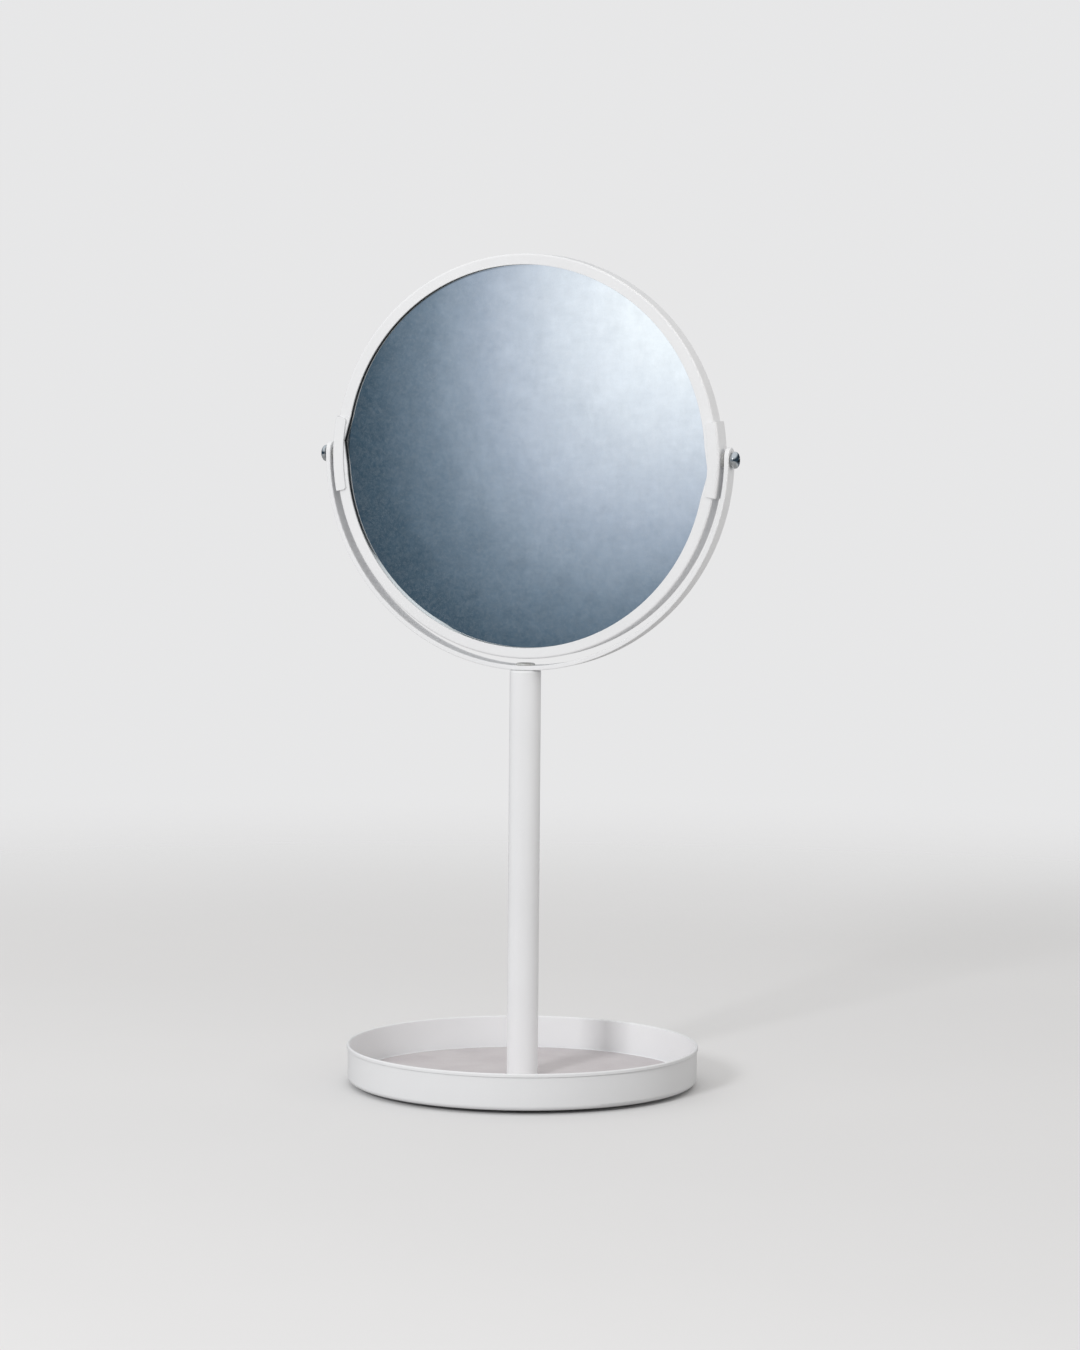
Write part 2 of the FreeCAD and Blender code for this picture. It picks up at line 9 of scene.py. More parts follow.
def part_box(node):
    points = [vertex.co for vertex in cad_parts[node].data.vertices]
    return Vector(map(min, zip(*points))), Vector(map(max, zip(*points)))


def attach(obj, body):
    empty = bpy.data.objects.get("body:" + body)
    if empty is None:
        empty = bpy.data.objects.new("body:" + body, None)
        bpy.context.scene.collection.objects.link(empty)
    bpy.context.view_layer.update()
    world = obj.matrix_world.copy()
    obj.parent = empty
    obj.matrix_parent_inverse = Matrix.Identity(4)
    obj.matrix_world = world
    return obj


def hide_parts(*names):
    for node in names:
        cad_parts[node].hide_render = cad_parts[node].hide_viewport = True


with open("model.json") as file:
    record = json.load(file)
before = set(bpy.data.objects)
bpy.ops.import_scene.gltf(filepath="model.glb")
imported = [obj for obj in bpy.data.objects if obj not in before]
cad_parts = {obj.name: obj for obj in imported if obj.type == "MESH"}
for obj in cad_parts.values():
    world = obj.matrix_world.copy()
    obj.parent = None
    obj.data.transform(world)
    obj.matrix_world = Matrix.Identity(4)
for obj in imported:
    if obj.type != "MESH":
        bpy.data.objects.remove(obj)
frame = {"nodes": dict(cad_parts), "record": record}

bpy.context.view_layer.update()

mm = 0.001
pivot = Vector((0, 0, 267.5)) * mm   # middle of the swivel axis
byNode = frame["nodes"]

softRange = (0.35, 0.65)       # parts of a noise's 0 to 1 that a pattern is spread over
wideRange = (0.3, 0.7)
bevelSamples = 6
edgeLikeness = (0.995, 0.82)   # of the rounded normal to the plain one, on a flat and on an edge


# node and mesh helpers

def newMaterial(name):
    material = bpy.data.materials.new(name)
    material.use_nodes = True
    return material, material.node_tree, material.node_tree.nodes["Principled BSDF"]


def addNode(tree, kind, options=None, **inputs):
    # inputs are named as on the node, with _ for a space; a socket is linked, a value is set
    node = tree.nodes.new(kind)
    for key, value in (options or {}).items():
        setattr(node, key, value)
    for key, value in inputs.items():
        setInput(tree, node, key.replace("_", " "), value)
    return node


def setInput(tree, node, key, value):
    socket = node.inputs[key]
    if isinstance(value, bpy.types.NodeSocket):
        tree.links.new(value, socket)
    else:
        socket.default_value = value


def rgb(colour):
    return (colour[0], colour[1], colour[2], 1.0)


def place(tree, stretch=(1, 1, 1)):
    # position on the piece in metres, stretched for streaky patterns
    spot = addNode(tree, "ShaderNodeTexCoord").outputs["Object"]
    return addNode(tree, "ShaderNodeMapping", Vector=spot, Scale=stretch).outputs[0]


def grain(tree, size, detail=2.0, rough=0.5, stretch=(1, 1, 1), twist=0.0, vector=None):
    # noise whose blotches are about size metres across, 0 to 1
    where = vector if vector is not None else place(tree, stretch)
    return addNode(tree, "ShaderNodeTexNoise", Vector=where, Scale=1 / size, Detail=detail,
                   Roughness=rough, Distortion=twist).outputs["Fac"]


def spread(tree, value, fromLow, fromHigh, toLow=0.0, toHigh=1.0, smooth=False):
    kind = "SMOOTHSTEP" if smooth else "LINEAR"
    return addNode(tree, "ShaderNodeMapRange", {"interpolation_type": kind}, Value=value,
                   From_Min=fromLow, From_Max=fromHigh, To_Min=toLow, To_Max=toHigh).outputs[0]


def mixColour(tree, amount, first, second, blend="MIX"):
    node = tree.nodes.new("ShaderNodeMix")
    node.data_type = "RGBA"
    node.blend_type = blend
    for index, value in ((0, amount), (6, first), (7, second)):
        if isinstance(value, bpy.types.NodeSocket):
            tree.links.new(value, node.inputs[index])
        elif index == 0:
            node.inputs[index].default_value = value
        else:
            node.inputs[index].default_value = rgb(value)
    return node.outputs[2]


def maths(tree, operation, first, second=0.0):
    node = addNode(tree, "ShaderNodeMath", {"operation": operation})
    for index, value in ((0, first), (1, second)):
        if isinstance(value, bpy.types.NodeSocket):
            tree.links.new(value, node.inputs[index])
        else:
            node.inputs[index].default_value = value
    return node.outputs[0]


def addBump(tree, shader, layers, normal=None):
    # layers: (height socket, depth in metres), the coarsest first
    for height, depth in layers:
        bump = addNode(tree, "ShaderNodeBump", Strength=1.0, Distance=depth, Height=height)
        if normal:
            tree.links.new(normal, bump.inputs["Normal"])
        normal = bump.outputs[0]
    tree.links.new(normal, shader.inputs["Normal"])


def roundedNormal(tree, width):
    return addNode(tree, "ShaderNodeBevel", {"samples": bevelSamples}, Radius=width).outputs[0]


def edgeMask(tree, width):
    # 1 on sharp outer edges, 0 on the flats
    rounded = roundedNormal(tree, width)
    plain = addNode(tree, "ShaderNodeNewGeometry").outputs["Normal"]
    likeness = addNode(tree, "ShaderNodeVectorMath", {"operation": "DOT_PRODUCT"})
    tree.links.new(rounded, likeness.inputs[0])
    tree.links.new(plain, likeness.inputs[1])
    return spread(tree, likeness.outputs["Value"], *edgeLikeness)


def newPiece(name, mesh, body, material, replaced=None):
    piece = bpy.data.objects.new(name, mesh)
    bpy.context.scene.collection.objects.link(piece)
    mesh.materials.clear()
    mesh.materials.append(material)
    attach(piece, body)
    if replaced:
        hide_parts(replaced)
    return piece


def spin(profile, steps, closed=False):
    # mesh turned about Z from (radius, height) points in metres; a point at radius 0 becomes a pole
    mesh = bmesh.new()
    rings = []
    for radius, height in profile:
        if radius == 0:
            rings.append([mesh.verts.new((0, 0, height))])
            continue
        ring = []
        for step in range(steps):
            turn = 2 * math.pi * step / steps
            ring.append(mesh.verts.new((radius * math.cos(turn), radius * math.sin(turn), height)))
        rings.append(ring)
    pairs = list(zip(rings, rings[1:]))
    if closed:
        pairs.append((rings[-1], rings[0]))
    for lower, upper in pairs:
        for step in range(steps):
            after = (step + 1) % steps
            corners = [lower[step % len(lower)], lower[after % len(lower)],
                       upper[after % len(upper)], upper[step % len(upper)]]
            mesh.faces.new(list(dict.fromkeys(corners)))
    bmesh.ops.recalc_face_normals(mesh, faces=mesh.faces)
    return mesh


def finishMesh(source, name, matrix, sharpAngle=35):
    mesh = bpy.data.meshes.new(name)
    source.transform(matrix)
    if matrix.determinant() < 0:
        bmesh.ops.reverse_faces(source, faces=source.faces)
    source.to_mesh(mesh)
    source.free()
    mesh.polygons.foreach_set("use_smooth", [True] * len(mesh.polygons))
    mesh.set_sharp_from_angle(angle=math.radians(sharpAngle))
    return mesh


# white powder coat on tray, post, yoke, frame and clips

coat = {
    "tone": (0.845, 0.85, 0.862),
    "palerTone": (0.875, 0.88, 0.892),
    "worn": (0.70, 0.695, 0.68),       # where the coat is thin over an edge
    "wornShare": 0.18,
    "speckShare": 0.12,
    "speckRange": (0.70, 0.78),
    "roughness": (0.36, 0.47),
    "ior": 1.48,
    "blotch": 0.055,                   # this and the next three are sizes across, metres
    "polish": 0.009,
    "speck": 0.0006,
    "edge": 0.00035,
    "orangePeel": (0.0016, 0.000012),  # size across and depth, metres
    "texture": (0.00042, 0.0000045),
}


def makeCoat():
    material, tree, shader = newMaterial("whiteCoat")
    blotches = grain(tree, coat["blotch"], 3.0)
    colour = mixColour(tree, spread(tree, blotches, *softRange), coat["tone"], coat["palerTone"])
    specks = spread(tree, grain(tree, coat["speck"], 1.0), *coat["speckRange"])
    specks = maths(tree, "MULTIPLY", specks, coat["speckShare"])
    colour = mixColour(tree, specks, colour, coat["worn"])
    thin = maths(tree, "MULTIPLY", edgeMask(tree, coat["edge"]), coat["wornShare"])
    colour = mixColour(tree, maths(tree, "MULTIPLY", thin, blotches), colour, coat["worn"])
    setInput(tree, shader, "Base Color", colour)
    polish = grain(tree, coat["polish"], 3.0)
    setInput(tree, shader, "Roughness", spread(tree, polish, *wideRange, *coat["roughness"]))
    shader.inputs["IOR"].default_value = coat["ior"]
    (peelSize, peelDepth), (fineSize, fineDepth) = coat["orangePeel"], coat["texture"]
    layers = [(grain(tree, peelSize, 1.0), peelDepth), (grain(tree, fineSize, 2.0), fineDepth)]
    addBump(tree, shader, layers, roundedNormal(tree, coat["edge"]))
    return material


# the two glasses: silver drawn a little behind the glass face, inside a ground rim whose colour
# holds painted shade and painted light

glasses = {
    "radius": 83.6 * mm,
    "front": 4.4 * mm,        # glass face in front of the frame's middle plane
    "thickness": 1.8 * mm,
    "silverDepth": 1.2 * mm,  # how deep the silver looks under the glass
    "rimWall": 83.2 * mm,     # inner side of the ground rim under the lip
    "seatTop": 80.8 * mm,     # the same where the rim bears against the lip, at the glass face
    "seatFoot": 79.75 * mm,   # and at the silver, so that it slopes
    "rimGap": 0.02 * mm,      # rim's top behind the glass face
    "rearCurve": 1100 * mm,
    "steps": 256,
    "rings": 24,
}

# mirror silver under glass, with dust and wiping marks, and painted shade along part of its edge

silver = {
    "colour": (0.87, 0.895, 0.905),
    "greyer": (0.83, 0.862, 0.875),
    "greyRange": (0.42, 0.72),
    "roughness": (0.012, 0.05),
    "clouds": (0.014, 0.6),     # metres across, and share in the greying
    "specks": (0.0014, 0.5),
    "dust": 0.036,              # most that the specks scatter
    "dustRange": (0.42, 0.64),
    "wipe": (0.0075, 0.0022),   # length and width of the wiping marks, metres
    "wipeRange": (0.52, 0.75),
    "patch": 0.04,              # metres across, where the marks are
    "patchRange": (0.50, 0.68),
    "haze": 0.03,               # most that a wiping mark scatters
    "smears": (0.0028, 0.030),  # metres across, and the most that they scatter
    "smearRange": (0.40, 0.66),
    # painted shade: the silver is darkened along part of its edge under the lip, standing in for
    # the lip's shadow
    "edge": 158,                # middle of the stretch of painted shade along the edge under the lip, degrees
    "shadeReach": (74, 36),      # degrees either side where it starts and where it is full
    "shadeRadii": (79.75 * mm, 80.2 * mm),
    "paintedShadeShare": 0.68,
}


def outwardFromPivot(tree):
    outward = addNode(tree, "ShaderNodeVectorMath", {"operation": "SUBTRACT"})
    tree.links.new(place(tree), outward.inputs[0])
    outward.inputs[1].default_value = pivot
    return outward.outputs[0]


def stretchRound(tree, outward, middle, reach):
    # 1 on the stretch of the mirror's edge round from +X towards +Z, 0 outside it
    along = addNode(tree, "ShaderNodeVectorMath", {"operation": "DOT_PRODUCT"})
    tree.links.new(outward, along.inputs[0])
    turn = math.radians(middle)
    along.inputs[1].default_value = (math.cos(turn), 0, math.sin(turn))
    start, full = [math.cos(math.radians(angle)) * glasses["radius"] for angle in reach]
    return spread(tree, along.outputs["Value"], start, full, smooth=True)


def makeSilver():
    material, tree, shader = newMaterial("mirrorSilver")
    (cloudSize, cloudShare), (speckSize, speckShare) = silver["clouds"], silver["specks"]
    clouds = grain(tree, cloudSize, 4.0, 0.6)
    specks = grain(tree, speckSize, 4.0, 0.7, twist=0.8)
    mottle = maths(tree, "ADD", maths(tree, "MULTIPLY", clouds, cloudShare),
                   maths(tree, "MULTIPLY", specks, speckShare))
    greyed = spread(tree, mottle, *silver["greyRange"])
    colour = mixColour(tree, greyed, silver["greyer"], silver["colour"])
    outward = outwardFromPivot(tree)
    distance = addNode(tree, "ShaderNodeVectorMath", {"operation": "LENGTH"})
    tree.links.new(outward, distance.inputs[0])
    # painted shade: worn darkens the silver in a ring under the lip over one stretch of its edge
    ring = spread(tree, distance.outputs["Value"], *silver["shadeRadii"])
    stretch = stretchRound(tree, outward, silver["edge"], silver["shadeReach"])
    worn = maths(tree, "MULTIPLY", maths(tree, "MULTIPLY", ring, stretch), silver["paintedShadeShare"])
    setInput(tree, shader, "Base Color", mixColour(tree, worn, colour, glassRim["deeper"]))
    length, width = silver["wipe"]
    wipes = grain(tree, width, 3.0, 0.6, stretch=(width / length, 1, 0.7), twist=2.2)
    patches = grain(tree, silver["patch"], 2.0)
    smudge = maths(tree, "MULTIPLY", spread(tree, wipes, *silver["wipeRange"]),
                   spread(tree, patches, *silver["patchRange"]))
    dust = spread(tree, specks, *silver["dustRange"])
    smearSize, smearShare = silver["smears"]
    smears = spread(tree, grain(tree, smearSize, 3.0, 0.55, twist=2.0), *silver["smearRange"])
    scatter = maths(tree, "ADD", maths(tree, "MULTIPLY", smudge, silver["haze"]),
                    maths(tree, "MULTIPLY", dust, silver["dust"]))
    scatter = maths(tree, "ADD", scatter, maths(tree, "MULTIPLY", smears, smearShare))
    setInput(tree, shader, "Metallic", maths(tree, "SUBTRACT", 1.0, scatter))
    setInput(tree, shader, "Roughness", spread(tree, smudge, 0.0, 1.0, *silver["roughness"]))
    return material


# the rim's near-black colours are partly the glass edge's own dark green and partly painted shade
# of the gap under the lip
glassRim = {
    "colour": (0.018, 0.030, 0.026),
    "deeper": (0.008, 0.015, 0.013),
    "roughness": (0.5, 0.75),
    "specular": 0.12,
    "chips": (0.0009, 0.00006),   # size across and depth, metres
    "pale": (0.70, 0.76, 0.79),   # painted light, where the rim bears against the lip
    "seat": 230,                  # middle of that stretch, degrees round from +X towards +Z
    "seatReach": (34, 14),        # degrees either side where it starts and where it is full
}


def makeGlassRim():
    material, tree, shader = newMaterial("glassRimPaintedShadeAndLight")
    chipSize, chipDepth = glassRim["chips"]
    chips = grain(tree, chipSize, 3.0, 0.6)
    chipped = spread(tree, chips, *softRange)
    colour = mixColour(tree, chipped, glassRim["deeper"], glassRim["colour"])
    # painted light: the rim turns pale over the stretch where it bears against the lip
    paintedLightShare = stretchRound(tree, outwardFromPivot(tree), glassRim["seat"], glassRim["seatReach"])
    setInput(tree, shader, "Base Color", mixColour(tree, paintedLightShare, colour, glassRim["pale"]))
    shader.inputs["Specular IOR Level"].default_value = glassRim["specular"]
    setInput(tree, shader, "Roughness", spread(tree, chips, *wideRange, *glassRim["roughness"]))
    addBump(tree, shader, [(chips, chipDepth)])
    return material


# pressed felt mat in the tray

felt = {
    "tone": (0.545, 0.510, 0.525),
    "palerTone": (0.605, 0.575, 0.585),
    "fibreTone": (0.67, 0.65, 0.655),
    "fibreShare": 0.4,
    "fibreRange": (0.55, 0.75),
    "roughness": (0.95, 0.8),
    "glossRange": (0.4, 0.7),
    "sheen": 0.12,
    "sheenRoughness": 0.5,
    "specular": 0.2,
    "clouds": (0.022, 0.00012),      # size across and depth, metres
    "fibre": (0.00045, 0.000072),
    "fibreStretch": (0.3, 1.2),      # along a fibre and across it
}


def makeFelt():
    material, tree, shader = newMaterial("pressedFelt")
    (cloudSize, cloudDepth), (fibreSize, fibreDepth) = felt["clouds"], felt["fibre"]
    along, across = felt["fibreStretch"]
    clouds = grain(tree, cloudSize, 4.0, 0.6)
    fibreOne = grain(tree, fibreSize, 3.0, 0.65, stretch=(along, across, 1), twist=0.8)
    fibreTwo = grain(tree, fibreSize, 3.0, 0.65, stretch=(across, along, 1), twist=0.8)
    fibres = maths(tree, "MAXIMUM", fibreOne, fibreTwo)
    colour = mixColour(tree, spread(tree, clouds, *softRange), felt["tone"], felt["palerTone"])
    light = maths(tree, "MULTIPLY", spread(tree, fibres, *felt["fibreRange"]), felt["fibreShare"])
    setInput(tree, shader, "Base Color", mixColour(tree, light, colour, felt["fibreTone"]))
    gloss = spread(tree, fibres, *felt["glossRange"], *felt["roughness"])
    setInput(tree, shader, "Roughness", gloss)
    shader.inputs["Sheen Weight"].default_value = felt["sheen"]
    shader.inputs["Sheen Roughness"].default_value = felt["sheenRoughness"]
    shader.inputs["Specular IOR Level"].default_value = felt["specular"]
    addBump(tree, shader, [(clouds, cloudDepth), (fibres, fibreDepth)])
    return material


# foam rubber pad under the tray

rubber = {
    "tone": (0.016, 0.016, 0.017),
    "dusty": (0.045, 0.045, 0.044),
    "dust": 0.012,                  # metres across
    "dustRange": (0.45, 0.7),
    "roughness": (0.72, 0.92),
    "cells": (0.0007, 0.0001),      # size across and depth, metres
}


def makeRubber():
    material, tree, shader = newMaterial("foamRubber")
    cellSize, cellDepth = rubber["cells"]
    cells = addNode(tree, "ShaderNodeTexVoronoi", Vector=place(tree), Scale=1 / cellSize)
    dust = spread(tree, grain(tree, rubber["dust"], 4.0, 0.65), *rubber["dustRange"])
    setInput(tree, shader, "Base Color", mixColour(tree, dust, rubber["tone"], rubber["dusty"]))
    setInput(tree, shader, "Roughness", spread(tree, dust, 0, 1, *rubber["roughness"]))
    addBump(tree, shader, [(cells.outputs["Distance"], cellDepth)])
    return material


# screws and washers

metals = {
    "brightChrome": {
        "tone": (0.62, 0.65, 0.67), "dull": (0.47, 0.49, 0.50), "roughness": (0.10, 0.24),
        "turning": (0.00018, 0.0000035), "creviceDark": 0.6, "metallic": 1.0,
    },
    "zincSteel": {
        "tone": (0.76, 0.76, 0.74), "dull": (0.62, 0.61, 0.58), "roughness": (0.34, 0.5),
        "turning": (0.00022, 0.000006), "creviceDark": 0.15, "metallic": 0.35,
    },
}
metalWear = {
    "stain": 0.0022,                  # metres across
    "stainDepth": 2,                  # against the depth of the turning marks
    "stainRange": (0.4, 0.7),
    "glossRange": (0.3, 0.75),
    "creviceDark": (0.05, 0.048, 0.045),
    "creviceReach": 0.0012,
    "creviceRange": (0.35, 0.8),
    "samples": 8,
    "turningStretch": (1, 0.2, 0.2),  # along the lathe's marks and across them
}


def makeMetal(name):
    look = metals[name]
    material, tree, shader = newMaterial(name)
    stains = grain(tree, metalWear["stain"], 4.0, 0.6)
    stained = spread(tree, stains, *metalWear["stainRange"])
    colour = mixColour(tree, stained, look["tone"], look["dull"])
    # darker in crevices, found by ambient occlusion
    crevice = addNode(tree, "ShaderNodeAmbientOcclusion", {"samples": metalWear["samples"]},
                      Distance=metalWear["creviceReach"])
    creviceDark = spread(tree, crevice.outputs["AO"], *metalWear["creviceRange"], look["creviceDark"], 0.0)
    setInput(tree, shader, "Base Color", mixColour(tree, creviceDark, colour, metalWear["creviceDark"]))
    shader.inputs["Metallic"].default_value = look["metallic"]
    gloss = spread(tree, stains, *metalWear["glossRange"], *look["roughness"])
    setInput(tree, shader, "Roughness", gloss)
    size, depth = look["turning"]     # size across and depth, metres
    turning = grain(tree, size, 2.0, stretch=metalWear["turningStretch"])
    addBump(tree, shader, [(stains, depth * metalWear["stainDepth"]), (turning, depth)])
    return material


plastics = {
    "nylonWasher": {
        "tone": (0.26, 0.26, 0.255), "other": (0.34, 0.34, 0.33), "roughness": (0.4, 0.55),
    },
    "spacerStrip": {
        "tone": (0.045, 0.045, 0.047), "other": (0.07, 0.07, 0.072), "roughness": (0.45, 0.65),
    },
    "greyCard": {
        "tone": (0.36, 0.33, 0.29), "other": (0.47, 0.44, 0.40), "roughness": (0.8, 0.95),
    },
}
plainPattern = {
    "clouds": 0.006,              # metres across
    "fine": (0.0005, 0.00002),    # size across and depth, metres
}


def makePlain(name):
    look = plastics[name]
    material, tree, shader = newMaterial(name)
    clouds = grain(tree, plainPattern["clouds"], 4.0, 0.6)
    fineSize, fineDepth = plainPattern["fine"]
    fine = grain(tree, fineSize, 3.0)
    colour = mixColour(tree, spread(tree, clouds, *softRange), look["tone"], look["other"])
    setInput(tree, shader, "Base Color", colour)
    setInput(tree, shader, "Roughness", spread(tree, fine, *wideRange, *look["roughness"]))
    addBump(tree, shader, [(fine, fineDepth)])
    return material


bySlot = {
    "white_coat": makeCoat(),
    "mirror_glass": makeSilver(),
    "mat_felt": makeFelt(),
    "pad_rubber": makeRubber(),
    "bright_chrome": makeMetal("brightChrome"),
    "zinc_steel": makeMetal("zincSteel"),
    "washer_nylon": makePlain("nylonWasher"),
    "spacer_plastic": makePlain("spacerStrip"),
    "grey_card": makePlain("greyCard"),
}
rimMaterial = makeGlassRim()
for part in frame["record"]["subparts"]:
    byNode[part["node"]].data.materials.clear()
    byNode[part["node"]].data.materials.append(bySlot[part["material_slot"]])
print("materials made:", len(bySlot) + 1)


def makeGlass(name, node, curve, turn):
    # drawn about Z with the face upwards, then laid on the pivot's middle
    rim = glasses["radius"]
    silverHeight = glasses["front"] - glasses["silverDepth"]
    backHeight = glasses["front"] - glasses["thickness"]

    def sink(radius):
        return (rim ** 2 - radius ** 2) / 2 / curve if curve else 0.0

    radii = [rim * ring / glasses["rings"] for ring in range(glasses["rings"] + 1)]
    face = [(radius, silverHeight - sink(radius)) for radius in radii]
    back = [(radius, backHeight - sink(radius)) for radius in reversed(radii)]
    lay = Matrix.Translation(pivot) @ Matrix.Rotation(math.radians(turn), 4, "X")
    mesh = finishMesh(spin(face + back, glasses["steps"]), name, lay)
    newPiece(name, mesh, "mirror_head", bySlot["mirror_glass"], node)
    top = glasses["front"] - glasses["rimGap"]
    wall = glasses["rimWall"]
    profile = [(wall, silverHeight), (rim, silverHeight), (rim, top), (wall, top)]
    band = spin(profile, glasses["steps"], closed=True)
    start, full = glassRim["seatReach"]
    for vert in band.verts:
        if vert.co.xy.length < (wall + rim) / 2:
            angle = math.degrees(math.atan2(vert.co.y, vert.co.x)) % 360
            share = min(max((start - abs(angle - glassRim["seat"])) / (start - full), 0), 1)
            atFace = vert.co.z > (silverHeight + top) / 2
            seat = glasses["seatTop"] if atFace else glasses["seatFoot"]
            vert.co.xy *= (wall + (seat - wall) * share) / vert.co.xy.length
    rimMesh = finishMesh(band, name + "Rim", lay)
    newPiece(name + "Rim", rimMesh, "mirror_head", rimMaterial, node)


makeGlass("frontGlass", "front_mirror", 0, 90)
makeGlass("rearGlass", "rear_mirror", glasses["rearCurve"], -90)
print("glasses made")


# pivot screws: domed head with a tapered cross recess, thread on the shank

screw = {
    "headRadius": 3.5 * mm, "headHeight": 2.5 * mm,
    "sideHeight": 0.75 * mm,            # straight wall under the dome
    "underEdge": 0.15 * mm,             # chamfer where the head meets the washer
    "domePower": 2.3, "domeSteps": 12,
    "recessTop": (2.0, 0.52, 2.6),      # arm, half width and height, mm
    "recessFoot": (0.8, 0.36, 0.75),
    "recessPoint": 0.35 * mm,
    "shankRadius": 1.75 * mm, "shankLength": 9.4 * mm,
    "pointShare": 0.7, "pointLength": 0.5 * mm,
    "pitch": 0.6 * mm, "threadDepth": 0.28 * mm,
    "ridgeShare": 0.42,                 # half the ridge's foot, as a share of the pitch
    "crestShare": 0.15,                 # its crest, as a share of the foot
    "ridgeSunk": 0.05 * mm,             # how deep its foot lies in the core
    "underHead": 0.02 * mm,             # where it stops below the head
    "turns": {"left": 118, "right": 24},   # how far round each was driven, degrees
    "steps": 96, "coreSteps": 48, "threadSteps": 32,
    "sharpAngle": 28,
}


def crossOutline(arm, half, height):
    corners = []
    for quarter in range(4):
        turn = Matrix.Rotation(math.radians(90 * quarter), 3, "Z")
        for x, y in ((half, half), (half, arm), (-half, arm)):
            corners.append(turn @ Vector((x * mm, y * mm, height * mm)))
    return corners


def makeRecessTool():
    tool = bmesh.new()
    top = [tool.verts.new(p) for p in crossOutline(*screw["recessTop"])]
    foot = [tool.verts.new(p) for p in crossOutline(*screw["recessFoot"])]
    point = tool.verts.new((0, 0, screw["recessPoint"]))
    for i in range(len(top)):
        after = (i + 1) % len(top)
        tool.faces.new((foot[i], foot[after], top[after], top[i]))
        tool.faces.new((foot[after], foot[i], point))
    tool.faces.new(top)
    bmesh.ops.recalc_face_normals(tool, faces=tool.faces)
    mesh = bpy.data.meshes.new("recessTool")
    tool.to_mesh(mesh)
    tool.free()
    return mesh


def cutWith(mesh, toolMesh):
    # mesh less the tool, as a new mesh
    target = bpy.data.objects.new("cutTarget", mesh)
    tool = bpy.data.objects.new("cutTool", toolMesh)
    for thing in (target, tool):
        bpy.context.scene.collection.objects.link(thing)
    cut = target.modifiers.new("cut", "BOOLEAN")
    cut.operation = "DIFFERENCE"
    cut.solver = "EXACT"
    cut.object = tool
    bpy.context.view_layer.update()
    depsgraph = bpy.context.evaluated_depsgraph_get()
    made = bpy.data.meshes.new_from_object(target.evaluated_get(depsgraph))
    for thing in (target, tool):
        bpy.data.objects.remove(thing)
    return made


def makeScrewHead():
    radius, height, side = screw["headRadius"], screw["headHeight"], screw["sideHeight"]
    under, steps = screw["underEdge"], screw["domeSteps"]
    profile = [(0, 0), (radius - under, 0), (radius, under), (radius, side)]
    for step in range(1, steps + 1):
        share = math.cos(math.radians(90 * step / steps))
        rise = (1 - share ** screw["domePower"]) ** (1 / screw["domePower"])
        profile.append((radius * share, side + (height - side) * rise))
    profile[-1] = (0, height)
    blank = bpy.data.meshes.new("screwBlank")
    solid = spin(profile, screw["steps"])
    solid.to_mesh(blank)
    solid.free()
    return cutWith(blank, makeRecessTool())


def makeThread():
    # one ridge wound round the shank, tapering off at both ends
    thread = bmesh.new()
    length, perTurn = screw["shankLength"], screw["threadSteps"]
    root = screw["shankRadius"] - screw["threadDepth"]
    foot = root - screw["ridgeSunk"]
    half = screw["pitch"] * screw["ridgeShare"]
    flat = half * screw["crestShare"]
    count = int(length / screw["pitch"] * perTurn)
    rows = []
    for step in range(count + 1):
        turn = 2 * math.pi * step / perTurn
        height = -length + length * step / count
        ends = min(1.0, step / perTurn, (count - step) / perTurn)
        crest = root + screw["threadDepth"] * ends
        row = []
        for radius, rise in ((foot, -half), (crest, -flat), (crest, flat), (foot, half)):
            level = min(max(height + rise, -length), -screw["underHead"])
            row.append(thread.verts.new((radius * math.cos(turn), radius * math.sin(turn), level)))
        rows.append(row)
    for lower, upper in zip(rows, rows[1:]):
        for i in range(3):
            thread.faces.new((lower[i], upper[i], upper[i + 1], lower[i + 1]))
        thread.faces.new((lower[3], upper[3], upper[0], lower[0]))
    thread.faces.new(rows[0])
    thread.faces.new(list(reversed(rows[-1])))
    return thread, root


def makePivotScrews():
    head = makeScrewHead()
    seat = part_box("pivot_screw_right")[1].x - screw["headHeight"]
    for side, sign in (("left", -1), ("right", 1)):
        whole, root = makeThread()
        whole.from_mesh(head)
        end = -screw["shankLength"]
        profile = [(0, end), (root * screw["pointShare"], end),
                   (root, end + screw["pointLength"]), (root, 0), (0, 0)]
        core = spin(profile, screw["coreSteps"])
        shank = bpy.data.meshes.new("shank")
        core.to_mesh(shank)
        core.free()
        whole.from_mesh(shank)
        bmesh.ops.recalc_face_normals(whole, faces=whole.faces)
        lay = (Matrix.Translation(pivot + Vector((sign * seat, 0, 0)))
               @ Matrix.Rotation(math.radians(90 * sign), 4, "Y")
               @ Matrix.Rotation(math.radians(screw["turns"][side]), 4, "Z"))
        mesh = finishMesh(whole, side + "PivotScrew", lay, screw["sharpAngle"])
        newPiece(side + "PivotScrew", mesh, "mirror_head", bySlot["bright_chrome"],
                 "pivot_screw_" + side)


makePivotScrews()
print("pivot screws made")


# floor, backdrop and light

stage = {
    "white": (0.80, 0.80, 0.805),        # background, as the camera sees it
    "floor": (0.81, 0.81, 0.815),
    "floorCloud": (0.775, 0.775, 0.78),
    "floorBounce": (0.46, 0.46, 0.46),   # what it throws back at the object
    "roughness": 0.9,
    "steps": 128,
    "cloud": 0.25,                       # this and the rest are in metres
    "radius": 1.5,
    "fade": (0.35, 1.15),                # where the floor starts to fade out and is gone
}


